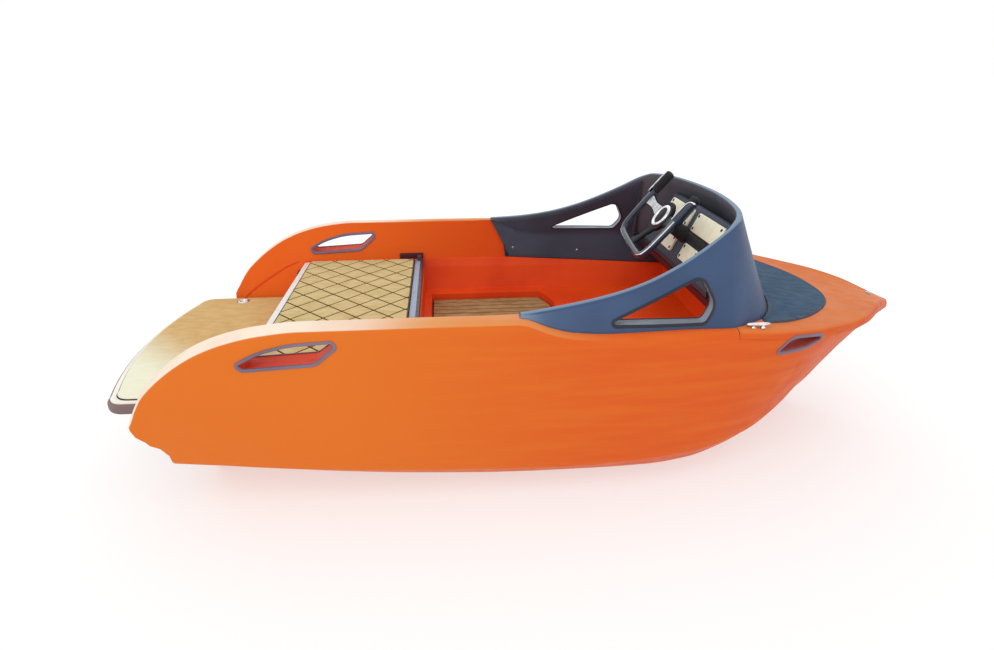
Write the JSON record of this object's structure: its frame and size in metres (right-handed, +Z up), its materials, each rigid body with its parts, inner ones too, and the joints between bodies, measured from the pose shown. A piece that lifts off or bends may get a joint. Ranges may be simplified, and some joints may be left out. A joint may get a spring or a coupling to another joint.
{
  "type": "inshore rescue boat",
  "caption": "Small open jet-driven rescue boat with raised stern wings, a low stern platform, a hinged bench over the engine, a footwell and a yoke behind a wrap-round cowl.",
  "frame": {"origin": "on the ground under the middle of the boat, where it stands on its bottom's flat runners", "axes": "+X to the bow, +Y to port, +Z up"},
  "size_m": [3.43, 1.4648, 1.1086],
  "materials": {
    "hull_orange": "gloss",
    "tub_red_orange": "semi gloss",
    "cowl_slate": "satin",
    "panel_dark": "satin",
    "pad_slate": "fine grained foam",
    "pad_cream": "grooved foam",
    "core_ivory": "matt",
    "edge_rubber": "matt",
    "lid_grey": "satin",
    "dash_ivory": "matt",
    "black_plastic": "satin",
    "gloss_black": "gloss",
    "seal_rubber": "matt",
    "chrome": "polished",
    "stainless": "brushed",
    "cast_alloy": "cast",
    "engine_alloy": "cast"
  },
  "bodies": {
    "boat": {"hull": "hull_orange", "foredeck": "hull_orange", "cockpit_liner": "tub_red_orange", "footwell_mat": "pad_cream", "stern_platform": "core_ivory", "platform_fender": "edge_rubber", "platform_pad": "pad_cream", "platform_eye_port": "chrome", "platform_eye_starboard": "chrome", "platform_bracket_port": "cast_alloy", "platform_bracket_starboard": "cast_alloy", "hatch_gasket": "seal_rubber", "hatch_hinge_port": "black_plastic", "hatch_hinge_starboard": "black_plastic", "cowl": "cowl_slate", "cowl_panel_port": "panel_dark", "cowl_panel_starboard": "panel_dark", "window_trim_port": "black_plastic", "window_trim_starboard": "black_plastic", "handle_trim_aft_port": "edge_rubber", "handle_trim_aft_starboard": "edge_rubber", "handle_trim_bow_port": "edge_rubber", "handle_trim_bow_starboard": "edge_rubber", "foredeck_pad": "pad_slate", "dash_console": "panel_dark", "dash_pad_upper_port": "dash_ivory", "dash_pad_upper_starboard": "dash_ivory", "dash_pad_lower_port": "dash_ivory", "dash_pad_lower_starboard": "dash_ivory", "steering_column": "black_plastic", "cleat_port": "chrome", "cleat_starboard": "chrome", "deck_eye": "stainless", "drain_plug": "black_plastic", "engine_block": "engine_alloy", "jet_pump": "cast_alloy", "ride_plate": "cast_alloy", "intake_grate": "stainless"},
    "helm": {"yoke_frame": "gloss_black", "yoke_grip_port": "seal_rubber", "yoke_grip_starboard": "seal_rubber", "hub_ring": "chrome"},
    "hatch": {"hatch_lid": "lid_grey", "hatch_pad": "pad_cream", "hatch_latch_port": "black_plastic", "hatch_latch_starboard": "black_plastic"},
    "nozzle": {"jet_nozzle": "cast_alloy"},
    "bucket": {"reverse_bucket": "cast_alloy"},
    "impeller": {"impeller": "stainless"}
  },
  "joints": [
    {"name": "helm_turn", "type": "hinge", "parent": "boat", "child": "helm", "pos_m": [0.573, 0, 0.949], "axis": [-0.788, 0, 0.6157], "range_deg": [-100, 100]},
    {"name": "nozzle_steer", "type": "hinge", "parent": "boat", "child": "nozzle", "pos_m": [-1.382, 0, 0.16], "axis": [0, 0, 1], "range_deg": [-22, 22]},
    {"name": "bucket_drop", "type": "hinge", "parent": "nozzle", "child": "bucket", "pos_m": [-1.46, 0, 0.16], "axis": [0, -1, 0], "range_deg": [0, 60]},
    {"name": "hatch_lift", "type": "hinge", "parent": "boat", "child": "hatch", "pos_m": [-0.508, 0, 0.607], "axis": [0, 1, 0], "range_deg": [0, 75]},
    {"name": "impeller_spin", "type": "hinge", "parent": "boat", "child": "impeller", "pos_m": [-1.205, 0, 0.16], "axis": [1, 0, 0], "continuous": true}
  ],
  "couplings": [
    {"joint": "nozzle_steer", "follows": "helm_turn", "ratio": -0.22}
  ]
}
